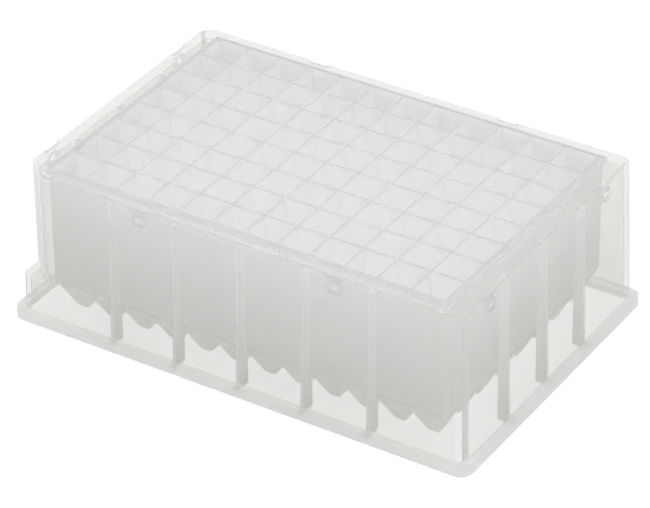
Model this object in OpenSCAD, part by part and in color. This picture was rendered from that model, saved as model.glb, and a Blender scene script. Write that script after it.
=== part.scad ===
// Deep-well plate: 96 square wells with blunt pyramid bottoms in one moulding.
// The wells hang from a raised rim and a lowered ledge, inside a skirt that is
// open underneath and stands on a base flange.
// Millimetres. X runs along the columns, Y along the rows and Z up, and the
// origin is the middle of the footprint, on the face that the plate stands on.

/* [Well field] */
// Number of wells along X
cols = 12; // [8:1:14]
// Number of wells along Y
rows = 8; // [6:1:10]
// Distance between the centres of neighbouring wells
pitch = 9; // [8.8:0.05:9.5]
// Width of a well at the top of its straight walls
well_w = 8.3; // [7.6:0.05:8.4]
// How far each straight wall leans inwards from top to bottom
well_draft = 0.25; // [0:0.05:0.4]
// Width of the chamfer round the mouth of each well
mouth_c = 0.15; // [0.05:0.05:0.18]
// Wall outside the outermost wells
side_t = 1; // [0.7:0.05:1.2]

/* [Well bottoms] */
// Angle of the pyramid faces from the vertical
taper_a = 25.5; // [22:0.5:30]
// Wall thickness of the pyramid faces
taper_t = 1; // [0.7:0.05:1.3]
// Radius of the blunt tip outside
tip_r = 1.75; // [1.2:0.05:2.2]
// Height of the tips above the table
tip_z = 2; // [1:0.1:4]
// Radius of the rounded bottom inside
bowl_r = 1.8; // [1:0.05:2.4]

/* [Top] */
// Overall height, up to the raised rim
plate_h = 42.3; // [38:0.1:46]
// Height of the rim above the lip
rim_up = 0.5; // [0.2:0.1:1]
// Width of the rim beyond the wells at the two ends
rim_x = 1.95; // [1.5:0.05:2.5]
// Width of the rim beyond the wells at the two long sides
rim_y = 1.25; // [1.05:0.05:1.8]
// Chamfer round the top of the rim
rim_c = 0.4; // [0.2:0.05:0.45]
// Depth of the ledge below the lip
ledge_down = 0.8; // [0.5:0.1:1.2]
// Thickness of the ledge
ledge_t = 1.4; // [1:0.1:2]
// Width of the ledge at the two ends
ledge_x = 4.67; // [3.5:0.01:6]
// Width of the ledge at the two long sides
ledge_y = 2.23; // [1.5:0.01:3.5]
// Width of the lip
lip_w = 0.9; // [0.7:0.05:1.1]
// Rounding of the outer edge of the lip
lip_r = 0.7; // [0.3:0.05:0.8]
// Height of the plain pad on one end of the ledge
pad_up = 0.4; // [0.2:0.05:0.5]
// Start of that pad along Y
pad_from = -18; // [-22:0.5:-10]
// End of that pad along Y
pad_to = 13; // [5:0.5:20]

/* [Skirt] */
// Thickness of the skirt
wall_t = 1.2; // [0.9:0.05:1.5]
// How far the skirt leans outwards from the lip to the table
wall_draft = 1.15; // [0.3:0.05:1.5]
// Corner radius of the skirt at the lip
wall_r = 2; // [1.5:0.1:3]
// How far the base flange stands out from the skirt
foot_out = 1.56; // [0.8:0.01:2]
// Height of the base flange
foot_h = 3.2; // [2.4:0.1:4]
// Corner radius of the base flange
foot_r = 3.2; // [2.5:0.1:4.5]
// Chamfer round the top and bottom edges of the base flange
foot_c = 0.3; // [0.1:0.05:0.4]

/* [Ribs, windows and marked corner] */
// Thickness of the ribs inside the skirt
rib_t = 0.9; // [0.6:0.05:1.2]
// Depth of the ribs at the two ends
rib_d = 3; // [2:0.1:3.5]
// Gap below the ribs
rib_z = 0.4; // [0.2:0.1:1]
// Wells from one rib to the next
rib_step = 2; // [1:1:3]
// Distance of the lid windows from the middle of each side
window_at = 27; // [20:0.5:28]
// Width of the lid windows
window_w = 3.3; // [2.5:0.1:4]
// Height of the lid windows, below the ledge
window_h = 2.6; // [1.5:0.1:4]
// Width of the gap in the lip above each lid window
gap_w = 5; // [4.2:0.1:6]
// Size of the cut that marks one corner, measured along each side
mark_c = 5.8; // [4.5:0.1:6.2]
// Height of the small shelf at the foot of that cut
mark_z = 12; // [8:0.5:25]

/* [Hidden] */
eps = 0.01;
over = 1;
arc_n = 8;
corner_fn = 32;

lip_z = plate_h - rim_up;
ledge_z = lip_z - ledge_down;
under_z = ledge_z - ledge_t;

// Half sizes of the rim, of the skirt at the lip and of the base flange
rim_hx = (cols - 1) / 2 * pitch + well_w / 2 + rim_x;
rim_hy = (rows - 1) / 2 * pitch + well_w / 2 + rim_y;
wall_hx = rim_hx + ledge_x + lip_w;
wall_hy = rim_hy + ledge_y + lip_w;
foot_hx = wall_hx + wall_draft + foot_out;
foot_hy = wall_hy + wall_draft + foot_out;

// The pyramids outside and inside a well, each from its sharp apex
apex_out = tip_z + tip_r - tip_r / sin(taper_a);
apex_in = apex_out + taper_t / sin(taper_a);

// Side view of one well, from z_top down to a round bottom of radius r that the
// two sloping sides, drawn from their apex, run into
function tooth(hw_top, hw_foot, apex, r, z_top) =
    let (
        zc = apex + r / sin(taper_a),
        z_foot = apex + hw_foot / tan(taper_a),
        swing = 90 - taper_a
    )
    concat(
        [[hw_top, z_top], [hw_foot, z_foot]],
        [for (i = [0 : arc_n]) let (t = swing * (1 - 2 * i / arc_n)) [r * sin(t), zc - r * cos(t)]],
        [[-hw_foot, z_foot], [-hw_top, z_top]]
    );

// Copies the child at each well along one axis
module along(n) {
    for (i = [0 : n - 1])
        translate([(i - (n - 1) / 2) * pitch, 0]) children();
}

// Side view of the well block for n wells
module block_side(n) {
    hw = well_w / 2 + side_t;
    half = (n - 1) / 2 * pitch + hw;
    z_side = apex_out + hw / tan(taper_a);
    along(n) polygon(tooth(hw, hw, apex_out, tip_r, ledge_z));
    translate([-half, z_side]) square([2 * half, ledge_z - z_side]);
}

// Side view of the hollows of n wells, with a chamfered mouth
module hollow_side(n) {
    hw = well_w / 2;
    along(n) {
        polygon(tooth(hw, hw - well_draft, apex_in, bowl_r, plate_h - mouth_c));
        polygon([
            [-hw, plate_h - mouth_c - eps], [hw, plate_h - mouth_c - eps], [hw, plate_h - mouth_c],
            [hw + mouth_c + over, plate_h + over], [-hw - mouth_c - over, plate_h + over],
            [-hw, plate_h - mouth_c]
        ]);
    }
}

// What two side views have in common: child 0 is seen along Y, child 1 along X
module crossed() {
    span = 2 * foot_hx;
    intersection() {
        rotate([90, 0, 0]) linear_extrude(span, center = true) children(0);
        rotate([90, 0, 90]) linear_extrude(span, center = true) children(1);
    }
}

module well_block() {
    crossed() {
        block_side(cols);
        block_side(rows);
    }
}

module well_hollows() {
    crossed() {
        hollow_side(cols);
        hollow_side(rows);
    }
}

// Four corner discs of a rounded rectangle, to be joined by hull()
module corners(hx, hy, r, z) {
    for (sx = [-1, 1], sy = [-1, 1])
        translate([sx * (hx - r), sy * (hy - r), z]) cylinder(r = r, h = eps, $fn = corner_fn);
}

// Outside of the skirt, leaning from the table to the lip, with the lip's round edge
module skirt_outside() {
    lean = wall_draft * lip_r / lip_z;
    hull() {
        corners(wall_hx + wall_draft, wall_hy + wall_draft, wall_r + wall_draft, 0);
        for (t = [0 : 30 : 90]) {
            inset = lip_r * (1 - cos(t));
            corners(wall_hx + lean - inset, wall_hy + lean - inset, wall_r + lean - inset,
                lip_z - eps - lip_r * (1 - sin(t)));
        }
    }
}

// Space inside the skirt, up to the ledge
module skirt_inside() {
    lean = wall_draft * (1 - under_z / lip_z);
    low = wall_draft * (1 + over / lip_z);
    hull() {
        corners(wall_hx + low - wall_t, wall_hy + low - wall_t, wall_r + low - wall_t, -over);
        corners(wall_hx + lean - wall_t, wall_hy + lean - wall_t, wall_r + lean - wall_t, under_z - eps);
    }
}

// Base flange, with both outer edges broken
module foot_outside() {
    hull() {
        corners(foot_hx - foot_c, foot_hy - foot_c, foot_r - foot_c, 0);
        corners(foot_hx, foot_hy, foot_r, foot_c);
        corners(foot_hx, foot_hy, foot_r, foot_h - foot_c - eps);
        corners(foot_hx - foot_c, foot_hy - foot_c, foot_r - foot_c, foot_h - eps);
    }
}

// Space inside the base flange, one wall thickness in from its outside
module foot_inside() {
    hull() {
        corners(foot_hx - wall_t, foot_hy - wall_t, foot_r - wall_t, -over);
        corners(foot_hx - wall_t, foot_hy - wall_t, foot_r - wall_t, foot_h - wall_t);
    }
}

// All that lies beyond the marked corner's flat face, moved in by d and above z
module beyond_mark(d, z) {
    reach = wall_hx + wall_hy;
    shift = mark_c + d * sqrt(2);
    translate([0, 0, z])
        linear_extrude(plate_h)
            polygon([[-reach + shift, 0], [-reach - shift, 0], [-reach - shift, -reach - shift],
                [0, -reach - shift], [0, -reach + shift]]);
}

module skirt() {
    difference() {
        union() {
            difference() {
                skirt_outside();
                beyond_mark(0, mark_z);
            }
            foot_outside();
        }
        difference() {
            skirt_inside();
            beyond_mark(wall_t, mark_z - wall_t);
        }
        foot_inside();
        difference() {
            hull() {
                corners(wall_hx - lip_w, wall_hy - lip_w, wall_r - lip_w, ledge_z);
                corners(wall_hx - lip_w, wall_hy - lip_w, wall_r - lip_w, plate_h);
            }
            beyond_mark(lip_w, mark_z);
        }
    }
}

// Raised band round the well field
module rim() {
    hull() {
        corners(rim_hx, rim_hy, wall_r - lip_w, under_z);
        corners(rim_hx, rim_hy, wall_r - lip_w, plate_h - rim_c - eps);
        corners(rim_hx - rim_c, rim_hy - rim_c, wall_r - lip_w - rim_c, plate_h - eps);
    }
}

// Plain raised pad on the ledge at the +X end
module pad() {
    translate([rim_hx - rim_c, pad_from, under_z])
        cube([ledge_x + rim_c + lip_w / 2, pad_to - pad_from, ledge_t + pad_up]);
}

// One rib in side view: from its free edge at `inner` into the skirt, whose
// outside is at `wall` by the lip and at `foot` by the table
module rib(inner, wall, foot) {
    mid = wall_t / 2;
    at_foot = wall + wall_draft * (1 - foot_h / lip_z);
    rotate([90, 0, 0])
        linear_extrude(rib_t, center = true)
            polygon([
                [inner, rib_z], [foot - mid, rib_z], [foot - mid, foot_h - mid],
                [at_foot - mid, foot_h - mid], [wall - mid, under_z + mid], [inner, under_z + mid]
            ]);
}

// Ribs at both ends reach in by rib_d. Those at the long sides reach the well block.
module ribs() {
    end_edge = wall_hx + wall_draft - wall_t - rib_d;
    side_edge = (rows - 1) / 2 * pitch + well_w / 2 + side_t / 2;
    for (side = [0, 180]) {
        for (k = [rib_step : rib_step : rows - 1])
            rotate(side) translate([0, (k - rows / 2) * pitch, 0]) rib(end_edge, wall_hx, foot_hx);
        for (k = [rib_step : rib_step : cols - 1])
            rotate(side) translate([(k - cols / 2) * pitch, 0, 0])
                rotate(90) rib(side_edge, wall_hy, foot_hy);
    }
}

// Cuts for one lid window and the gap in the lip above it, in a side whose
// outside is at `wall`
module window(wall) {
    in_x = wall - wall_t - wall_draft / 4;
    translate([in_x, -window_w / 2, under_z - window_h])
        cube([wall_t + wall_draft + over, window_w, window_h]);
    translate([wall - lip_w - eps, -gap_w / 2, ledge_z])
        cube([lip_w + wall_draft + over, gap_w, plate_h]);
}

module windows() {
    for (side = [0, 180], at = [-window_at, window_at]) {
        rotate(side) translate([0, at, 0]) window(wall_hx);
        rotate(side) translate([at, 0, 0]) rotate(90) window(wall_hy);
    }
}

module plate() {
    color([0.9, 0.9, 0.89, 0.7])
        difference() {
            union() {
                skirt();
                ribs();
                pad();
                rim();
                well_block();
            }
            well_hollows();
            windows();
        }
}

plate();
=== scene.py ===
"""Looks of a deep-well plate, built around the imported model."""

import logging
import math
from collections.abc import Callable, Iterable
from dataclasses import dataclass, field
from enum import Enum
from itertools import pairwise

import bpy
from mathutils import Matrix


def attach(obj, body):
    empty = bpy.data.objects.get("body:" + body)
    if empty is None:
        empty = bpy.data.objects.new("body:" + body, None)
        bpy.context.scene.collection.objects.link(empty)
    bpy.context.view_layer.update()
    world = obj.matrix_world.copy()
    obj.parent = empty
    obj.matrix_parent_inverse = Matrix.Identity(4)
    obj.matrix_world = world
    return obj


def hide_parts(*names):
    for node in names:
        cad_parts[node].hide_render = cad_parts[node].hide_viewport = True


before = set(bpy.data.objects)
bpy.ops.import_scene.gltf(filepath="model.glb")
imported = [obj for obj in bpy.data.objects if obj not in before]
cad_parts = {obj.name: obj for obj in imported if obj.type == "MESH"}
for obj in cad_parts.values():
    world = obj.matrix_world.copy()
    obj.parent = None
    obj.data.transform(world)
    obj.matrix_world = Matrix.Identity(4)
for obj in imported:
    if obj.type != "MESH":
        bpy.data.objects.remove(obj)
PLATE_NODE = "plate"
BODY = "root"

# One millimetre in the scene's metres.
MM = 0.001
# Places this close together count as one, in millimetres.
NEAR = 0.01
# Vertical part of a face's normal: at least this on a flat face, and at most
# this on an upright one. A sloping face and one that looks up have more.
FLAT = 0.99
UPRIGHT = 0.01
SLOPING = 0.1
LOOKS_UP = 0.5
# Colour that light takes on in one skin of the skirt.
WARM = (0.984, 0.98, 0.972)

Point = tuple[float, float, float]
Colour = tuple[float, float, float]

log = logging.getLogger("well_plate")


class Cut(Enum):
    """What a Boolean modifier does with its second shape."""

    ADD = "UNION"
    TAKE_AWAY = "DIFFERENCE"


@dataclass(frozen=True)
class Level:
    """Half sizes and height of one cross-section, in millimetres."""

    x: float
    y: float
    z: float


def only(piece: bpy.types.Object) -> None:
    """Selects one piece and nothing else, and makes it the active one.

    Args:
        piece: The piece to work on.
    """
    if bpy.context.object and bpy.context.object.mode != "OBJECT":
        bpy.ops.object.mode_set(mode="OBJECT")
    bpy.ops.object.select_all(action="DESELECT")
    piece.select_set(True)
    bpy.context.view_layer.objects.active = piece


def start_box(name: str, low: Level, high: Level, turn: float = 0.0,
              at: tuple[float, float] = (0.0, 0.0)) -> bpy.types.Object:
    """Adds a box whose place is in its mesh.

    Args:
        name: The new piece's name.
        low: Half sizes and height of the bottom.
        high: Height of the top; its half sizes are those of the bottom.
        turn: Turn about the vertical, in degrees.
        at: Centre in plan, in millimetres.

    Returns:
        The box.
    """
    bpy.ops.object.select_all(action="DESELECT")
    bpy.ops.mesh.primitive_cube_add(
        size=2 * MM, location=(at[0] * MM, at[1] * MM, (low.z + high.z) / 2 * MM),
        rotation=(0, 0, math.radians(turn)), scale=(low.x, low.y, (high.z - low.z) / 2))
    box = bpy.context.object
    box.name = name
    bpy.ops.object.transform_apply(location=True, rotation=True, scale=True)
    return box


def pick_faces(piece: bpy.types.Object,
               test: Callable[[bpy.types.MeshPolygon], bool]) -> None:
    """Goes to edit mode with just the faces selected that pass a test.

    Args:
        piece: The piece to edit.
        test: Says yes to the faces wanted.
    """
    only(piece)
    bpy.ops.object.mode_set(mode="EDIT")
    bpy.ops.mesh.select_mode(type="FACE")
    bpy.ops.mesh.select_all(action="DESELECT")
    bpy.ops.object.mode_set(mode="OBJECT")
    for face in piece.data.polygons:
        face.select = test(face)
    bpy.ops.object.mode_set(mode="EDIT")


def pick_edges(piece: bpy.types.Object, test: Callable[[Point, Point], bool]) -> None:
    """Goes to edit mode with just the edges selected that pass a test.

    Args:
        piece: The piece to edit.
        test: Says yes to the edges wanted, from their two ends in millimetres.
    """
    only(piece)
    bpy.ops.object.mode_set(mode="EDIT")
    bpy.ops.mesh.select_mode(type="EDGE")
    bpy.ops.mesh.select_all(action="DESELECT")
    bpy.ops.object.mode_set(mode="OBJECT")
    points = [tuple(c / MM for c in v.co) for v in piece.data.vertices]
    for edge in piece.data.edges:
        edge.select = test(points[edge.vertices[0]], points[edge.vertices[1]])
    bpy.ops.object.mode_set(mode="EDIT")


def pick_top(piece: bpy.types.Object) -> None:
    """Selects the highest face that looks up."""
    top = max(v.co.z for v in piece.data.vertices)
    pick_faces(piece, lambda face: face.normal.z > FLAT
               and abs(face.center.z - top) < NEAR * MM)


def pick_bottom(piece: bpy.types.Object) -> None:
    """Selects the lowest face that looks down."""
    low = min(v.co.z for v in piece.data.vertices)
    pick_faces(piece, lambda face: face.normal.z < -FLAT
               and abs(face.center.z - low) < NEAR * MM)


def draw_out(start: Level, levels: Iterable[Level]) -> None:
    """Extrudes what is selected through a row of cross-sections.

    Args:
        start: The cross-section that is selected now.
        levels: The cross-sections to come, one after the other.
    """
    here = start
    for there in levels:
        bpy.ops.mesh.extrude_region_move(
            TRANSFORM_OT_translate={"value": (0, 0, (there.z - here.z) * MM)})
        bpy.ops.transform.resize(value=(there.x / here.x, there.y / here.y, 1),
                                 center_override=(0, 0, there.z * MM))
        here = there


def done(piece: bpy.types.Object) -> bpy.types.Object:
    """Goes back to object mode and returns the piece."""
    only(piece)
    return piece


def apply(piece: bpy.types.Object, kind: str, **settings: object) -> None:
    """Adds a modifier with its settings and applies it.

    Args:
        piece: The piece to change.
        kind: Blender's name for the kind of modifier.
        settings: Its properties.
    """
    only(piece)
    change = piece.modifiers.new(kind.lower(), kind)
    for name, value in settings.items():
        setattr(change, name, value)
    bpy.ops.object.modifier_apply(modifier=change.name)


def combine(piece: bpy.types.Object, other: bpy.types.Object, cut: Cut) -> None:
    """Adds or takes away another piece, which is used up.

    Args:
        piece: The piece that changes.
        other: The piece that is added or taken away.
        cut: Which of the two it is.
    """
    apply(piece, "BOOLEAN", object=other, operation=cut.value, solver="EXACT",
          material_mode="TRANSFER")
    bpy.data.objects.remove(other)


def report(piece: bpy.types.Object) -> None:
    """Writes a piece's name and number of faces to the log."""
    log.info("%s: %d faces", piece.name, len(piece.data.polygons))


def merge(pieces: list[bpy.types.Object]) -> bpy.types.Object:
    """Joins pieces that don't touch into the first of them.

    Args:
        pieces: The pieces to join.

    Returns:
        The first piece, which holds them all now.
    """
    bpy.ops.object.select_all(action="DESELECT")
    for piece in pieces:
        piece.select_set(True)
    bpy.context.view_layer.objects.active = pieces[0]
    bpy.ops.object.join()
    return pieces[0]


def mix_shaders(tree: bpy.types.NodeTree, share: float | bpy.types.NodeSocket,
                first: bpy.types.Node, second: bpy.types.Node) -> bpy.types.Node:
    """Mixes two shaders.

    Args:
        tree: The nodes they are in.
        share: The second shader's share, as a number or a socket.
        first: The first shader.
        second: The second shader.

    Returns:
        The mix.
    """
    mix = tree.nodes.new("ShaderNodeMixShader")
    if isinstance(share, float):
        mix.inputs[0].default_value = share
    else:
        tree.links.new(share, mix.inputs[0])
    tree.links.new(first.outputs[0], mix.inputs[1])
    tree.links.new(second.outputs[0], mix.inputs[2])
    return mix


@dataclass(frozen=True)
class MilkyPlastic:
    """Natural polypropylene, clouded more or less by what lies behind its face.

    Attributes:
        name: The material's name.
        clear: Share of the light that goes straight through.
        haze: Share of the rest that is scattered; what is left is refracted.
        back: Share of the scattered light that comes back.
        roughness: Middle roughness of the refracting skin.
        glass: Colour of the refracting skin.
        cloud_and_shade: Colour of the scattered light; where it is darker than white, it is
            painted shade.
        tint: Colour of the light that goes straight through.
        ior: Index of refraction.
        drift: How far haze and roughness drift from their middle, as a share.
        drift_scale: Fineness of that drift.
        noise_low: Noise value at which the drift is at its lowest.
        noise_high: Noise value at which the drift is at its highest.
        grain: Strength of the surface grain.
        grain_deep: Depth of the grain, in millimetres.
        grain_scale: Fineness of the grain.
        tilt_from: How slanting a view makes the plastic begin to look milkier.
        tilt_left: Share of the clearness left in the most slanting view.
    """

    name: str
    clear: float
    haze: float
    back: float
    roughness: float = 0.12
    glass: Colour = (0.998, 0.998, 0.998)
    cloud_and_shade: Colour = (0.997, 0.997, 0.997)
    tint: Colour = (0.999, 0.999, 0.999)
    ior: float = 1.49
    drift: float = 0.04
    drift_scale: float = 70.0
    noise_low: float = 0.3
    noise_high: float = 0.7
    grain: float = 0.04
    grain_deep: float = 0.1
    grain_scale: float = 900.0
    tilt_from: float = 0.6
    tilt_left: float = 0.35

    def material(self) -> bpy.types.Material:
        """Makes the node material, or finds it where it is made already.

        Returns:
            The finished material.
        """
        mat = bpy.data.materials.get(self.name)
        if mat:
            return mat
        mat = bpy.data.materials.new(self.name)
        mat.use_nodes = True
        tree = mat.node_tree
        tree.nodes.clear()
        place = tree.nodes.new("ShaderNodeTexCoord").outputs["Object"]
        drift = self._noise(tree, place, self.drift_scale, 1.0)
        grain = self._noise(tree, place, self.grain_scale, 0.0)
        skin = self._skin(tree, self._drifting(tree, drift, self.roughness), grain)
        last = mix_shaders(tree, self._drifting(tree, drift, self.haze), skin, self._soft(tree))
        if self.clear:
            last = self._cleared(tree, last)
        out = tree.nodes.new("ShaderNodeOutputMaterial")
        tree.links.new(last.outputs[0], out.inputs["Surface"])
        return mat

    def _noise(self, tree: bpy.types.NodeTree, place: bpy.types.NodeSocket, scale: float,
               detail: float) -> bpy.types.NodeSocket:
        """Adds noise that stays on the piece.

        Args:
            tree: The material's nodes.
            place: The coordinates.
            scale: Fineness of the noise.
            detail: Number of finer layers on top.

        Returns:
            The noise value.
        """
        noise = tree.nodes.new("ShaderNodeTexNoise")
        noise.inputs["Scale"].default_value = scale
        noise.inputs["Detail"].default_value = detail
        tree.links.new(place, noise.inputs["Vector"])
        return noise.outputs["Fac"]

    def _drifting(self, tree: bpy.types.NodeTree, noise: bpy.types.NodeSocket,
                  middle: float) -> bpy.types.NodeSocket:
        """Lets a value drift a little around its middle.

        Args:
            tree: The material's nodes.
            noise: The noise that it drifts with.
            middle: Its middle.

        Returns:
            The drifting value, which is never more than 1.
        """
        node = tree.nodes.new("ShaderNodeMapRange")
        node.inputs["From Min"].default_value = self.noise_low
        node.inputs["From Max"].default_value = self.noise_high
        node.inputs["To Min"].default_value = middle * (1 - self.drift)
        node.inputs["To Max"].default_value = min(1.0, middle * (1 + self.drift))
        tree.links.new(noise, node.inputs["Value"])
        return node.outputs["Result"]

    def _skin(self, tree: bpy.types.NodeTree, rough: bpy.types.NodeSocket,
              grain: bpy.types.NodeSocket) -> bpy.types.Node:
        """Makes the refracting and shining skin.

        Args:
            tree: The material's nodes.
            rough: Its roughness.
            grain: The noise of its surface grain.

        Returns:
            The shader.
        """
        bump = tree.nodes.new("ShaderNodeBump")
        bump.inputs["Strength"].default_value = self.grain
        bump.inputs["Distance"].default_value = self.grain_deep * MM
        tree.links.new(grain, bump.inputs["Height"])
        skin = tree.nodes.new("ShaderNodeBsdfPrincipled")
        skin.distribution = "MULTI_GGX"
        skin.inputs["Base Color"].default_value = (*self.glass, 1)
        skin.inputs["IOR"].default_value = self.ior
        skin.inputs["Transmission Weight"].default_value = 1.0
        tree.links.new(rough, skin.inputs["Roughness"])
        tree.links.new(bump.outputs["Normal"], skin.inputs["Normal"])
        return skin

    def _soft(self, tree: bpy.types.NodeTree) -> bpy.types.Node:
        """Makes the scattering part, which sends light back and on.

        Args:
            tree: The material's nodes.

        Returns:
            The shader.
        """
        matt = tree.nodes.new("ShaderNodeBsdfDiffuse")
        glow = tree.nodes.new("ShaderNodeBsdfTranslucent")
        # A cloud colour darker than white is painted shade.
        for shader in (matt, glow):
            shader.inputs["Color"].default_value = (*self.cloud_and_shade, 1)
        return mix_shaders(tree, 1 - self.back, matt, glow)

    def _cleared(self, tree: bpy.types.NodeTree, body: bpy.types.Node) -> bpy.types.Node:
        """Lets light straight through, and less of it where the view is slanting.

        Args:
            tree: The material's nodes.
            body: The shader for the rest of the light.

        Returns:
            The shader for all of it.
        """
        tilt = tree.nodes.new("ShaderNodeLayerWeight")
        tilt.inputs["Blend"].default_value = 0.5
        through = tree.nodes.new("ShaderNodeMapRange")
        through.interpolation_type = "SMOOTHSTEP"
        through.inputs["From Min"].default_value = self.tilt_from
        through.inputs["From Max"].default_value = 1.0
        through.inputs["To Min"].default_value = self.clear
        through.inputs["To Max"].default_value = self.clear * self.tilt_left
        tree.links.new(tilt.outputs["Facing"], through.inputs["Value"])
        gap = tree.nodes.new("ShaderNodeBsdfTransparent")
        gap.inputs["Color"].default_value = (*self.tint, 1)
        return mix_shaders(tree, through.outputs["Result"], body, gap)


class Finish(Enum):
    """The plastic's looks, from single clear walls to many milky ones; the darker cloud colours
    among them are painted shade.
    """

    SKIRT = MilkyPlastic("skirt_wall", clear=0.75, haze=0.86, back=0.15, tint=WARM)
    # A darker, milkier copy of the skirt finish: painted shade on the bars where the skirt bends.
    CORNER = MilkyPlastic("skirt_corner_painted_shade", clear=0.15, haze=0.95, back=0.4,
                          cloud_and_shade=(0.93, 0.93, 0.93), tint=WARM)
    FLANGE = MilkyPlastic("flange_wall", clear=0.5, haze=0.8, back=0.3, tint=WARM)
    RIB = MilkyPlastic("rib_wall", clear=0.1, haze=0.95, back=0.4)
    WELL = MilkyPlastic("well_wall", clear=0.4, haze=1.0, back=0.03)
    # Darker cloud colour: painted shade on the outer walls of the wells.
    FLANK = MilkyPlastic("outer_well_wall_painted_shade", clear=0.0, haze=1.0, back=0.6,
                         cloud_and_shade=(0.945, 0.945, 0.945))
    TIP = MilkyPlastic("well_bottom", clear=0.45, haze=1.0, back=0.1)
    # Darker cloud colour: painted shade on the edges at the well mouths and on the faces cut for
    # the lid.
    LAND = MilkyPlastic("well_edge_painted_shade", clear=0.5, haze=1.0, back=0.1, cloud_and_shade=(0.86, 0.86, 0.86))


def dress(piece: bpy.types.Object, finish: Finish,
          test: Callable[[bpy.types.MeshPolygon], bool] | None = None) -> None:
    """Gives a piece, or the faces of it that pass a test, a finish.

    Args:
        piece: The piece.
        finish: The finish.
        test: Says yes to the faces wanted; without it, all are.
    """
    mat = finish.value.material()
    if mat.name not in piece.data.materials:
        piece.data.materials.append(mat)
    index = piece.data.materials.find(mat.name)
    for face in piece.data.polygons:
        if test is None or test(face):
            face.material_index = index


@dataclass
class Well:
    """One well of the plate with its share of the walls, in millimetres.

    Attributes:
        pitch: Distance from one well to the next.
        top: Height of the mouth.
        mouth: Half width at the mouth.
        mouth_break: Size of the mouth's chamfer.
        foot: Half width where the pyramid begins.
        taper: Angle between the pyramid's faces and the vertical, in degrees.
        skin: Thickness of the pyramid's wall.
        tip: Height of the lowest point.
        tip_round: Radius of the round tip outside.
        bowl_round: Radius of the round bowl inside.
        arc_steps: Number of steps in the round ends.
    """

    pitch: float = 9.0
    top: float = 42.3
    mouth: float = 4.15
    mouth_break: float = 0.15
    foot: float = 3.9
    taper: float = 25.5
    skin: float = 1.0
    tip: float = 2.0
    tip_round: float = 1.75
    bowl_round: float = 1.8
    arc_steps: int = 4

    @property
    def slope(self) -> float:
        """Sideways run of the pyramid faces for each millimetre down."""
        return math.tan(math.radians(self.taper))

    @property
    def apex(self) -> float:
        """Height at which the outer pyramid faces would meet."""
        return self.tip + self.tip_round - self.tip_round / math.sin(math.radians(self.taper))

    @property
    def inner_apex(self) -> float:
        """Height at which the inner pyramid faces would meet."""
        return self.apex + self.skin / math.sin(math.radians(self.taper))

    def reach(self, half: float) -> float:
        """Height at which the outer pyramid is as wide as a half size.

        Args:
            half: The half size.

        Returns:
            The height.
        """
        return self.apex + half / self.slope

    def round_end(self, apex: float, radius: float) -> list[Level]:
        """Cross-sections of the round end that a pyramid runs into.

        Args:
            apex: Height at which the pyramid's faces would meet.
            radius: Radius of the round end.

        Returns:
            The cross-sections from the widest to the flat at the bottom.
        """
        middle = apex + radius / math.sin(math.radians(self.taper))
        swing = math.radians(90 - self.taper)
        angles = [swing * (1 - i / (self.arc_steps + 0.5)) for i in range(self.arc_steps + 1)]
        return [Level(radius * math.sin(a), radius * math.sin(a), middle - radius * math.cos(a))
                for a in angles]

    def build(self) -> bpy.types.Object:
        """Models the well as an open cell that its neighbours close.

        Returns:
            The cell, centred on the vertical axis.
        """
        half = self.pitch / 2
        valley = self.reach(half)
        low, high = Level(half, half, valley), Level(half, half, self.top)
        cell = start_box("well_cell", low, high)
        pick_bottom(cell)
        draw_out(low, self.round_end(self.apex, self.tip_round))
        pick_top(cell)
        wide = self.mouth + self.mouth_break
        inner = self.inner_apex + self.foot / self.slope
        draw_out(high, [
            Level(wide, wide, self.top),
            Level(self.mouth, self.mouth, self.top - self.mouth_break),
            Level(self.foot, self.foot, inner),
            *self.round_end(self.inner_apex, self.bowl_round),
        ])
        pick_faces(cell, lambda face: abs(face.normal.z) < UPRIGHT
                   and max(abs(face.center.x), abs(face.center.y)) > (half - NEAR) * MM)
        bpy.ops.mesh.delete(type="ONLY_FACE")
        return done(cell)


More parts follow.
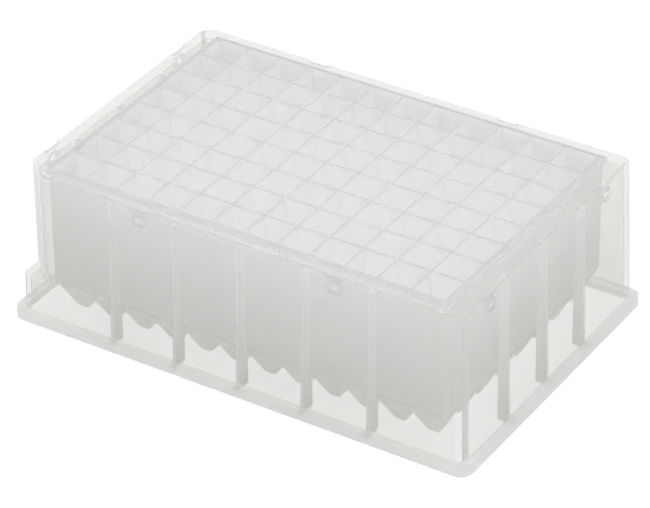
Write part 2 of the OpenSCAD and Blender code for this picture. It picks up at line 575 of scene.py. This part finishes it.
@dataclass
class WellBlock:
    """All wells with the rim round their mouths, in millimetres.

    Attributes:
        well: The well that is repeated.
        columns: Number of wells along X.
        rows: Number of wells along Y.
        side: Thickness of the block's outer walls.
        rim_x: Width of the rim beyond the mouths at the ends.
        rim_y: Width of the rim beyond the mouths at the long sides.
        rim_break: Size of the rim's chamfer.
        root: Height, inside the ledge, where the rim's outside ends.
        land: Depth of the band that holds all edges at the mouths.
    """

    well: Well = field(default_factory=Well)
    columns: int = 12
    rows: int = 8
    side: float = 1.0
    rim_x: float = 1.95
    rim_y: float = 1.25
    rim_break: float = 0.4
    root: float = 40.3
    land: float = 1.0

    @property
    def edge(self) -> Level:
        """The outermost cell borders, at the height of the mouths."""
        half = self.well.pitch / 2
        return Level(half * self.columns, half * self.rows, self.well.top)

    @property
    def rim(self) -> Level:
        """Outside of the rim."""
        wide = self.well.mouth - self.well.pitch / 2
        return Level(self.edge.x + wide + self.rim_x, self.edge.y + wide + self.rim_y,
                     self.well.top)

    @property
    def flank(self) -> Level:
        """Outside of the block below the rim."""
        wide = self.well.mouth - self.well.pitch / 2 + self.side
        return Level(self.edge.x + wide, self.edge.y + wide, self.root)

    def build(self) -> bpy.types.Object:
        """Models one well, repeats it and closes the block round the outside.

        Returns:
            The closed block.
        """
        block = self.well.build()
        block.name = "well_block"
        pitch = self.well.pitch
        for axis, count in ((0, self.columns), (1, self.rows)):
            step = [0.0, 0.0, 0.0]
            step[axis] = pitch * MM
            apply(block, "ARRAY", count=count, use_relative_offset=False,
                  use_constant_offset=True, constant_offset_displace=step,
                  use_merge_vertices=True, merge_threshold=NEAR * MM)
        only(block)
        bpy.ops.object.mode_set(mode="EDIT")
        bpy.ops.mesh.select_all(action="SELECT")
        bpy.ops.transform.translate(value=(-(self.columns - 1) / 2 * pitch * MM,
                                           -(self.rows - 1) / 2 * pitch * MM, 0))
        bpy.ops.mesh.remove_doubles(threshold=NEAR * MM)
        self._close_top(block)
        self._close_foot(block)
        self._close_root(block)
        done(block)
        self.dress(block)
        return block

    def _on_edge(self, height: float) -> Callable[[Point, Point], bool]:
        """Makes a test for edges that run round the outermost cells.

        Args:
            height: Height of those edges.

        Returns:
            The test, which takes the two ends of an edge.
        """
        borders = (self.edge.x, self.edge.y)

        def test(a: Point, b: Point) -> bool:
            """Says whether an edge lies along one side of the block.

            Args:
                a: One end.
                b: The other end.

            Returns:
                Whether it does.
            """
            level = all(abs(p[2] - height) < NEAR for p in (a, b))
            along = [all(abs(abs(p[axis]) - border) < NEAR for p in (a, b))
                     and abs(a[axis] - b[axis]) < NEAR for axis, border in enumerate(borders)]
            return level and any(along)

        return test

    def _close_top(self, block: bpy.types.Object) -> None:
        """Carries the top out over the rim and down its outside.

        Args:
            block: The block.
        """
        pick_edges(block, self._on_edge(self.well.top))
        edge, rim, cut = self.edge, self.rim, self.rim_break
        draw_out(edge, [Level(rim.x - cut, rim.y - cut, rim.z), Level(rim.x, rim.y, rim.z - cut),
                        Level(rim.x, rim.y, self.root)])

    def _close_foot(self, block: bpy.types.Object) -> None:
        """Carries the outer pyramid faces out to the flanks and up them.

        Args:
            block: The block.
        """
        valley = self.well.reach(self.well.pitch / 2)
        pick_edges(block, self._on_edge(valley))
        edge, flank = self.edge, self.flank
        turn = self.well.reach(self.well.pitch / 2 + flank.x - edge.x)
        draw_out(Level(edge.x, edge.y, valley), [Level(flank.x, flank.y, turn), flank])

    def _close_root(self, block: bpy.types.Object) -> None:
        """Bridges the rim's outside to the flanks, inside the ledge.

        Args:
            block: The block.
        """
        pick_edges(block, lambda a, b: all(abs(p[2] - self.root) < NEAR for p in (a, b)))
        bpy.ops.mesh.bridge_edge_loops()
        bpy.ops.mesh.select_all(action="SELECT")
        bpy.ops.mesh.normals_make_consistent(inside=False)

    def dress(self, block: bpy.types.Object) -> None:
        """Gives the walls, outsides, bottoms and top edges their finishes; the darker ones on the
        outsides and top edges are painted shade.

        Args:
            block: The block.
        """
        edge, top = self.edge, self.well.top
        turn = self.well.inner_apex + self.well.foot / self.well.slope
        dress(block, Finish.WELL)
        # The outer walls of the wells get the finish with painted shade.
        dress(block, Finish.FLANK, lambda face: abs(face.center.x) > (edge.x - NEAR) * MM
              or abs(face.center.y) > (edge.y - NEAR) * MM)
        dress(block, Finish.TIP, lambda face: face.center.z < turn * MM
              and abs(face.normal.z) > SLOPING)
        # The top edges at the mouths get the finish with painted shade.
        dress(block, Finish.LAND, lambda face: face.normal.z > LOOKS_UP
              and face.center.z > (top - self.land) * MM)


@dataclass
class Skirt:
    """Skirt, ledge, lip, base flange and marked corner, in millimetres.

    Attributes:
        rim: Outside of the rim that the ledge begins at.
        flank: Outside of the wells, which go where the skirt is left open.
        ledge_x: Width of the ledge at the ends.
        ledge_y: Width of the ledge at the long sides.
        lip: Thickness of the lip round the ledge.
        lip_round: Radius of the lip's outer edge.
        lip_top: Height of the lip.
        ledge_down: Depth of the ledge below the lip.
        ledge_skin: Thickness of the ledge.
        wall: Thickness of the skirt.
        lean: How far the skirt spreads from the lip to the table.
        corner: Radius of the skirt's corners at the lip.
        flange_out: How far the base flange stands out.
        flange_top: Height of the base flange.
        flange_corner: Radius of the flange's corners.
        flange_break: Size of the flange's chamfers.
        mark: Size of the cut corner.
        mark_low: Height where the cut corner begins.
        corner_steps: Number of faces in a rounded corner.
        lip_steps: Number of faces in the lip's round edge.
        core_gap: How far the opening for the wells stays inside their outside.
        over: How far a cutting block reaches past what it cuts.
        bar_x: Least X part in the normal of the milky bar at a corner, which has painted shade.
        bar_y: Least Y part in it.
        bar_z: Greatest Z part in it.
    """

    rim: Level
    flank: Level
    ledge_x: float = 4.67
    ledge_y: float = 2.23
    lip: float = 0.9
    lip_round: float = 0.7
    lip_top: float = 41.8
    ledge_down: float = 0.8
    ledge_skin: float = 1.4
    wall: float = 1.2
    lean: float = 1.15
    corner: float = 2.0
    flange_out: float = 1.56
    flange_top: float = 3.2
    flange_corner: float = 3.2
    flange_break: float = 0.3
    mark: float = 5.8
    mark_low: float = 12.0
    corner_steps: int = 8
    lip_steps: int = 5
    core_gap: float = 0.25
    over: float = 2.0
    bar_x: float = 0.8
    bar_y: float = 0.15
    bar_z: float = 0.3

    @property
    def at_lip(self) -> Level:
        """Outside of the skirt where its lean ends, at the lip."""
        return Level(self.rim.x + self.ledge_x + self.lip, self.rim.y + self.ledge_y + self.lip,
                     self.lip_top)

    @property
    def ledge(self) -> float:
        """Height of the ledge's top."""
        return self.lip_top - self.ledge_down

    @property
    def under(self) -> float:
        """Height of the ledge's underside."""
        return self.ledge - self.ledge_skin

    def outside(self, z: float, inset: float = 0.0) -> Level:
        """Cross-section of the leaning skirt.

        Args:
            z: Height of the cross-section.
            inset: How far it lies inside the outer face.

        Returns:
            The cross-section.
        """
        out = self.lean * (1 - z / self.lip_top) - inset
        return Level(self.at_lip.x + out, self.at_lip.y + out, z)

    def _flange(self, inset: float = 0.0) -> Level:
        """Half sizes of the base flange, or of what lies inside it by an inset."""
        out = self.lean + self.flange_out - inset
        return Level(self.at_lip.x + out, self.at_lip.y + out, 0)

    def _rounded(self, name: str, low: Level, high: float, radius: float) -> bpy.types.Object:
        """Adds a box and rounds its four upright edges.

        Args:
            name: The box's name.
            low: Half sizes and height of its bottom.
            high: Height of its top.
            radius: Radius of its upright edges.

        Returns:
            The box, still in edit mode.
        """
        box = start_box(name, low, Level(low.x, low.y, high))
        pick_edges(box, lambda a, b: abs(a[2] - b[2]) > NEAR)
        bpy.ops.mesh.bevel(offset=radius * MM, segments=self.corner_steps, affect="EDGES")
        return box

    def _shell(self) -> bpy.types.Object:
        """Models the outside, from the flange up to the round lip.

        Returns:
            The closed outside.
        """
        out = self._flange()
        cut = self.flange_break
        base = self._rounded("shell", Level(out.x, out.y, cut), self.flange_top - cut,
                             self.flange_corner)
        brim = Level(out.x, out.y, self.flange_top - cut)
        pick_top(base)
        knee = self.lip_top - self.lip_round
        arc = []
        for i in range(1, self.lip_steps + 1):
            turn = math.radians(90 * i / self.lip_steps)
            z = knee + self.lip_round * math.sin(turn)
            arc.append(self.outside(z, self.lip_round * (1 - math.cos(turn))))
        foot = self.outside(self.flange_top)
        draw_out(brim, [Level(out.x - cut, out.y - cut, self.flange_top), foot,
                        self.outside(knee), *arc])
        pick_bottom(base)
        draw_out(Level(out.x, out.y, cut), [Level(out.x - cut, out.y - cut, 0)])
        return done(base)

    def _hollow(self) -> bpy.types.Object:
        """Models the space inside the skirt and the flange.

        Returns:
            The space, as a closed piece.
        """
        turn = self.flange_top - self.wall
        out = self._flange(self.wall)
        low = Level(out.x, out.y, -self.over)
        space = self._rounded("hollow", low, turn, self.flange_corner - self.wall)
        pick_top(space)
        draw_out(Level(out.x, out.y, turn), [self.outside(turn, self.wall),
                                             self.outside(self.under, self.wall)])
        return done(space)

    def _pocket(self) -> bpy.types.Object:
        """Models the space above the ledge, inside the lip."""
        low = Level(self.at_lip.x - self.lip, self.at_lip.y - self.lip, self.ledge)
        return done(self._rounded("pocket", low, self.lip_top + self.over, self.corner - self.lip))

    def _corner_block(self, skin: float, low: float) -> bpy.types.Object:
        """Makes a block that covers all beyond the marked corner's flat face.

        Args:
            skin: How far inside that face the block begins.
            low: Height of the block's bottom.

        Returns:
            The block.
        """
        far = (self.at_lip.x + self.at_lip.y - self.mark) / math.sqrt(2) - skin
        size = 4 * self.mark
        middle = (far + size) / math.sqrt(2)
        return start_box("corner_block", Level(size, size, low),
                         Level(size, size, self.lip_top + 2 * self.over), 45, (-middle, -middle))

    def build(self) -> bpy.types.Object:
        """Models the shell, empties it and cuts the marked corner.

        Returns:
            The skirt with its ledge, open where the wells go.
        """
        shell, space, pocket = self._shell(), self._hollow(), self._pocket()
        combine(shell, self._corner_block(0, self.mark_low), Cut.TAKE_AWAY)
        combine(space, self._corner_block(self.wall, self.mark_low - self.wall), Cut.TAKE_AWAY)
        combine(pocket, self._corner_block(self.lip, self.under - self.over), Cut.TAKE_AWAY)
        combine(shell, space, Cut.TAKE_AWAY)
        combine(shell, pocket, Cut.TAKE_AWAY)
        low = Level(self.flank.x - self.core_gap, self.flank.y - self.core_gap, -self.over)
        core = start_box("core", low, Level(0, 0, self.lip_top + self.over))
        combine(shell, core, Cut.TAKE_AWAY)
        shell.name = "skirt"
        self.dress(shell)
        return shell

    def dress(self, shell: bpy.types.Object) -> None:
        """Gives the skirt, the bars at its corners and the flange their finishes; the bars get
        painted shade.

        Args:
            shell: The skirt.
        """
        dress(shell, Finish.SKIRT)
        # The bars where the skirt bends at its corners get a darker, milkier copy of the skirt
        # finish: painted shade.
        dress(shell, Finish.CORNER, lambda face: abs(face.normal.x) > self.bar_x
              and abs(face.normal.y) > self.bar_y and abs(face.normal.z) < self.bar_z
              and face.center.z > self.flange_top * MM)
        brim, corners = (self.flange_top + NEAR) * MM, shell.data.vertices
        dress(shell, Finish.FLANGE, lambda face: all(corners[i].co.z < brim
                                                     for i in face.vertices))


@dataclass
class Ribs:
    """Upright ribs between the skirt and the wells, in millimetres.

    Attributes:
        skirt: The skirt that they stand in.
        pitch: Distance from one well to the next.
        columns: Number of wells along X.
        rows: Number of wells along Y.
        thick: Thickness of a rib.
        deep: How far the ribs at the ends stand in from the skirt.
        low: Height of a rib's lower end.
        step: Number of wells from one rib to the next.
        root: How far the ribs at the long sides reach into the wells' outside.
    """

    skirt: Skirt
    pitch: float = 9.0
    columns: int = 12
    rows: int = 8
    thick: float = 0.9
    deep: float = 3.0
    low: float = 0.4
    step: int = 2
    root: float = 0.5

    def _rib(self, name: str, inner: float, across: bool) -> bpy.types.Object:
        """Models one rib that follows the flange and the skirt's lean.

        Args:
            name: The rib's name.
            inner: Distance of its free edge from the plate's middle.
            across: Whether it stands at a long side instead of an end.

        Returns:
            The rib, at the middle of the end or side it belongs to.
        """
        skirt, mid = self.skirt, self.skirt.wall / 2
        heights = (self.low, skirt.flange_top - mid, skirt.flange_top - mid,
                   skirt.under + mid)
        levels = [skirt.outside(z, mid) for z in heights]
        foot = skirt.at_lip.y if across else skirt.at_lip.x
        foot += skirt.lean + skirt.flange_out - mid
        outer = [foot, foot, *[level.y if across else level.x for level in levels[2:]]]
        half, centre = self.thick / 2, (inner + foot) / 2
        low = Level((foot - inner) / 2, half, self.low)
        rib = start_box(name, low, Level(0, 0, heights[1]), 0, (centre, 0))
        pick_top(rib)
        for (x, z), (wide, high) in pairwise(zip(outer[1:], heights[1:])):
            bpy.ops.mesh.extrude_region_move(
                TRANSFORM_OT_translate={"value": (0, 0, (high - z) * MM)})
            bpy.ops.transform.resize(value=((wide - inner) / (x - inner), 1, 1),
                                     center_override=(inner * MM, 0, high * MM))
        if across:
            bpy.ops.mesh.select_all(action="SELECT")
            bpy.ops.transform.rotate(value=math.radians(-90), orient_axis="Z",
                                     center_override=(0, 0, 0))
        return done(rib)

    def _copies(self, rib: bpy.types.Object, places: Iterable[float],
                across: bool) -> list[bpy.types.Object]:
        """Copies a rib along its side and to the opposite side.

        Args:
            rib: The rib to copy, which is used up.
            places: Distances of the copies from the middle of the side.
            across: Whether the side is a long one.

        Returns:
            The copies.
        """
        copies = []
        for place in places:
            for turn in (0, 180):
                only(rib)
                bpy.ops.object.duplicate()
                copy = bpy.context.object
                shift = (place * MM, 0, 0) if across else (0, place * MM, 0)
                bpy.ops.transform.translate(value=shift)
                half_turn = Matrix.Rotation(math.radians(turn), 4, "Z")
                copy.matrix_world = half_turn @ copy.matrix_world
                bpy.ops.object.transform_apply(location=True, rotation=True, scale=True)
                copies.append(copy)
        bpy.data.objects.remove(rib)
        return copies

    def build(self) -> bpy.types.Object:
        """Models all the ribs.

        Returns:
            One object that holds them, still apart from the skirt.
        """
        at_end = self.skirt.outside(0).x - self.skirt.wall - self.deep
        at_side = self.skirt.flank.y - self.root
        ends = [(k - self.rows / 2) * self.pitch
                for k in range(self.step, self.rows, self.step)]
        sides = [(k - self.columns / 2) * self.pitch
                 for k in range(self.step, self.columns, self.step)]
        ribs = self._copies(self._rib("end_rib", at_end, False), ends, False)
        ribs += self._copies(self._rib("side_rib", at_side, True), sides, True)
        whole = merge(ribs)
        whole.name = "ribs"
        dress(whole, Finish.RIB)
        return whole


@dataclass
class LidWindows:
    """Cuts for the lid: windows in the skirt and gaps in the lip, in millimetres.

    Attributes:
        skirt: The skirt that they are cut in.
        place: Distance of a window from the middle of its side.
        wide: Width of a window.
        high: Height of a window.
        gap: Width of the gap in the lip above it.
        lean_share: Share of the skirt's lean that a window's depth allows for.
    """

    skirt: Skirt
    place: float = 27.0
    wide: float = 3.3
    high: float = 2.6
    gap: float = 5.0
    lean_share: float = 0.25

    def _cut(self, name: str, turn: int, place: float, wide: float, low: float, high: float,
             deep: float) -> bpy.types.Object:
        """Makes one cutting block, turned to its side of the plate.

        Args:
            name: The block's name.
            turn: Quarter turns from the +X end.
            place: Distance from the middle of the side.
            wide: Width along the side.
            low: Height of its bottom.
            high: Height of its top.
            deep: How far it reaches inside the skirt's outer face at the lip.

        Returns:
            The block.
        """
        skirt = self.skirt
        face = skirt.at_lip.y if turn % 2 else skirt.at_lip.x
        inner, outer = face - deep, face + skirt.over
        angle = math.radians(90 * turn)
        middle = (inner + outer) / 2
        at = (middle * math.cos(angle) - place * math.sin(angle),
              middle * math.sin(angle) + place * math.cos(angle))
        size = Level((outer - inner) / 2, wide / 2, low)
        return start_box(name, size, Level(0, 0, high), 90 * turn, at)

    def build(self) -> tuple[bpy.types.Object, bpy.types.Object]:
        """Makes the blocks for all the windows and for all the gaps.

        Returns:
            The windows' blocks as one object, and the gaps' blocks as another.
            The faces that they cut take their finish, which has painted shade.
        """
        skirt = self.skirt
        windows, gaps = [], []
        for turn in range(4):
            for place in (-self.place, self.place):
                windows.append(self._cut("window", turn, place, self.wide,
                                         skirt.under - self.high, skirt.under,
                                         skirt.wall + skirt.lean * self.lean_share))
                gaps.append(self._cut("gap", turn, place, self.gap, skirt.ledge,
                                      skirt.lip_top + skirt.over, skirt.lip + NEAR))
        cuts = merge(windows), merge(gaps)
        # The cut faces get the well-edge finish, whose darker cloud colour is painted shade.
        for cut in cuts:
            dress(cut, Finish.LAND)
        return cuts


@dataclass
class Pad:
    """Plain raised pad on the ledge at the +X end, in millimetres.

    Attributes:
        skirt: The skirt with the ledge.
        start: Its end towards -Y.
        end: Its end towards +Y.
        up: How far it stands above the ledge.
        edge_break: Size of its rounded edges.
        edge_steps: Number of faces in them.
        root: How far it reaches into the rim.
        lift: Height of its underside above the ledge's.
    """

    skirt: Skirt
    start: float = -18.0
    end: float = 13.0
    up: float = 0.4
    edge_break: float = 0.15
    edge_steps: int = 2
    root: float = 0.4
    lift: float = 0.1

    def build(self) -> bpy.types.Object:
        """Models the pad with its top edges broken.

        Returns:
            The pad.
        """
        skirt = self.skirt
        inner, outer = skirt.rim.x - self.root, skirt.at_lip.x - skirt.lip / 2
        half = Level((outer - inner) / 2, (self.end - self.start) / 2, skirt.under + self.lift)
        pad = start_box("pad", half, Level(0, 0, skirt.ledge + self.up), 0,
                        ((inner + outer) / 2, (self.start + self.end) / 2))
        pick_top(pad)
        bpy.ops.mesh.bevel(offset=self.edge_break * MM, segments=self.edge_steps,
                           affect="EDGES")
        done(pad)
        dress(pad, Finish.SKIRT)
        return pad


@dataclass
class Plate:
    """The whole moulding.

    Attributes:
        name: Its name.
        sharp: Angle between faces, in degrees, from which their edge stays sharp.
        weld: Distance within which corners are merged, in millimetres.
    """

    name: str = "moulded_plate"
    sharp: float = 30.0
    weld: float = 0.001

    def build(self, skirt: bpy.types.Object, added: Iterable[bpy.types.Object],
              cuts: Iterable[bpy.types.Object], wells: bpy.types.Object) -> bpy.types.Object:
        """Makes one solid of the parts of the moulding, which are used up.

        Args:
            skirt: The skirt.
            added: What stands on or in the skirt.
            cuts: What is cut out of it.
            wells: The well block.

        Returns:
            The plate.
        """
        for piece in added:
            combine(skirt, piece, Cut.ADD)
        for piece in cuts:
            combine(skirt, piece, Cut.TAKE_AWAY)
        combine(skirt, wells, Cut.ADD)
        skirt.name = self.name
        only(skirt)
        bpy.ops.object.mode_set(mode="EDIT")
        bpy.ops.mesh.select_all(action="SELECT")
        bpy.ops.mesh.remove_doubles(threshold=self.weld * MM)
        bpy.ops.mesh.normals_make_consistent(inside=False)
        bpy.ops.object.mode_set(mode="OBJECT")
        bpy.ops.object.shade_smooth_by_angle(angle=math.radians(self.sharp))
        return skirt


@dataclass
class Studio:
    """White table, soft light from above and the camera.

    Attributes:
        camera_at: Place of the camera.
        camera_turn: The camera's turns, in degrees.
        lens: Focal length, in millimetres.
        sensor: Width of the sensor, in millimetres.
        clip: Nearest distance that the camera shows.
        floor_size: Width of the table.
        horizon: Light from the sides.
        zenith: Light from above.
        rise: How far up the one turns into the other.
        table: Colour of the table for the light that it sends up.
        shine: Brightness of the table where it is seen.
        shadow: How much of it depends on the light there, and shows the shadow.
    """

    camera_at: Point = (0.391926, -0.614377, 0.494553)
    camera_turn: Point = (56.7166, 0.5967, 32.1877)
    lens: float = 200.05
    sensor: float = 36.0
    clip: float = 0.01
    floor_size: float = 6.0
    horizon: Colour = (0.335, 0.337, 0.341)
    zenith: Colour = (1.13, 1.135, 1.145)
    rise: tuple[float, float] = (0.0, 0.9)
    table: Colour = (0.71, 0.697, 0.68)
    shine: float = 0.9
    shadow: float = 0.13

    def build(self) -> None:
        """Builds the table, the light and the camera."""
        self._camera()
        self._world()
        self._floor()

    def _camera(self) -> None:
        """Adds the camera and makes it the scene's own."""
        bpy.ops.object.camera_add(location=self.camera_at)
        cam = bpy.context.object
        cam.rotation_euler = [math.radians(a) for a in self.camera_turn]
        cam.data.lens = self.lens
        cam.data.sensor_width = self.sensor
        cam.data.sensor_fit = "HORIZONTAL"
        cam.data.clip_start = self.clip
        bpy.context.scene.camera = cam

    def _seen(self, tree: bpy.types.NodeTree) -> bpy.types.NodeSocket:
        """Tells rays that show the background from rays that carry light.

        Args:
            tree: The nodes of the world or of a material.

        Returns:
            A value that is 1 for the rays that show it.
        """
        path = tree.nodes.new("ShaderNodeLightPath")
        value = path.outputs["Is Camera Ray"]
        for ray in ("Is Transmission Ray", "Is Glossy Ray"):
            either = tree.nodes.new("ShaderNodeMath")
            either.operation = "MAXIMUM"
            tree.links.new(value, either.inputs[0])
            tree.links.new(path.outputs[ray], either.inputs[1])
            value = either.outputs[0]
        sharp = tree.nodes.new("ShaderNodeMath")
        sharp.operation = "SUBTRACT"
        sharp.use_clamp = True
        tree.links.new(value, sharp.inputs[0])
        tree.links.new(path.outputs["Is Diffuse Ray"], sharp.inputs[1])
        return sharp.outputs[0]

    def _world(self) -> None:
        """Lights the scene from above, and shows white behind it."""
        world = bpy.data.worlds.new("room")
        world.use_nodes = True
        bpy.context.scene.world = world
        tree = world.node_tree
        nodes, links = tree.nodes, tree.links
        nodes.clear()
        out = nodes.new("ShaderNodeOutputWorld")
        look = nodes.new("ShaderNodeTexCoord")
        split = nodes.new("ShaderNodeSeparateXYZ")
        links.new(look.outputs["Generated"], split.inputs[0])
        rise = nodes.new("ShaderNodeMapRange")
        rise.interpolation_type = "SMOOTHSTEP"
        rise.inputs["From Min"].default_value = self.rise[0]
        rise.inputs["From Max"].default_value = self.rise[1]
        links.new(split.outputs["Z"], rise.inputs["Value"])
        tint = nodes.new("ShaderNodeMix")
        tint.data_type = "RGBA"
        tint.inputs["A"].default_value = (*self.horizon, 1)
        tint.inputs["B"].default_value = (*self.zenith, 1)
        links.new(rise.outputs["Result"], tint.inputs["Factor"])
        light = nodes.new("ShaderNodeBackground")
        links.new(tint.outputs["Result"], light.inputs["Color"])
        white = nodes.new("ShaderNodeBackground")
        white.inputs["Color"].default_value = (1, 1, 1, 1)
        mix = mix_shaders(tree, self._seen(tree), light, white)
        links.new(mix.outputs[0], out.inputs["Surface"])

    def _floor(self) -> None:
        """Adds the white table top, which keeps a faint shadow."""
        bpy.ops.mesh.primitive_plane_add(size=self.floor_size, location=(0, 0, 0))
        floor = bpy.context.object
        floor.name = "table_top"
        mat = bpy.data.materials.new("white_table")
        mat.use_nodes = True
        tree = mat.node_tree
        nodes, links = tree.nodes, tree.links
        nodes.clear()
        out = nodes.new("ShaderNodeOutputMaterial")
        matt = nodes.new("ShaderNodeBsdfDiffuse")
        matt.inputs["Color"].default_value = (*self.table, 1)
        white = nodes.new("ShaderNodeEmission")
        white.inputs["Strength"].default_value = self.shine
        shade = nodes.new("ShaderNodeBsdfDiffuse")
        shade.inputs["Color"].default_value = (self.shadow, self.shadow, self.shadow, 1)
        both = nodes.new("ShaderNodeAddShader")
        links.new(white.outputs[0], both.inputs[0])
        links.new(shade.outputs[0], both.inputs[1])
        mix = mix_shaders(tree, self._seen(tree), matt, both)
        links.new(mix.outputs[0], out.inputs["Surface"])
        floor.data.materials.append(mat)


@dataclass(frozen=True)
class LightPaths:
    """How far the renderer follows the light.

    Attributes:
        bounces: Number of faces that scatter, reflect or bend it.
        clear: Number of faces that it goes straight through.
    """

    bounces: int = 48
    clear: int = 128

    def set(self, scene: bpy.types.Scene) -> None:
        """Lets light pass through all the walls of the wells.

        Args:
            scene: The scene.
        """
        cycles = scene.cycles
        cycles.max_bounces = self.bounces
        cycles.diffuse_bounces = self.bounces
        cycles.glossy_bounces = self.bounces
        cycles.transmission_bounces = self.bounces
        cycles.transparent_max_bounces = self.clear
        cycles.blur_glossy = 0.0
        cycles.caustics_refractive = True
        cycles.caustics_reflective = True


def main() -> None:
    """Models and dresses the plate and sets up the studio."""
    logging.basicConfig(level=logging.INFO, format="%(name)s: %(message)s")
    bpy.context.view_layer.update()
    scene = bpy.context.scene
    scene.view_settings.view_transform = "Standard"
    LightPaths().set(scene)
    block = WellBlock()
    wells = block.build()
    report(wells)
    plan = Skirt(block.rim, block.flank)
    skirt = plan.build()
    report(skirt)
    ribs = Ribs(plan, block.well.pitch, block.columns, block.rows).build()
    report(ribs)
    pad = Pad(plan).build()
    report(pad)
    windows, gaps = LidWindows(plan).build()
    report(windows)
    report(gaps)
    plate = Plate().build(skirt, (ribs, pad), (windows, gaps), wells)
    report(plate)
    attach(plate, BODY)
    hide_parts(PLATE_NODE)
    Studio().build()


if __name__ == "__main__":
    main()
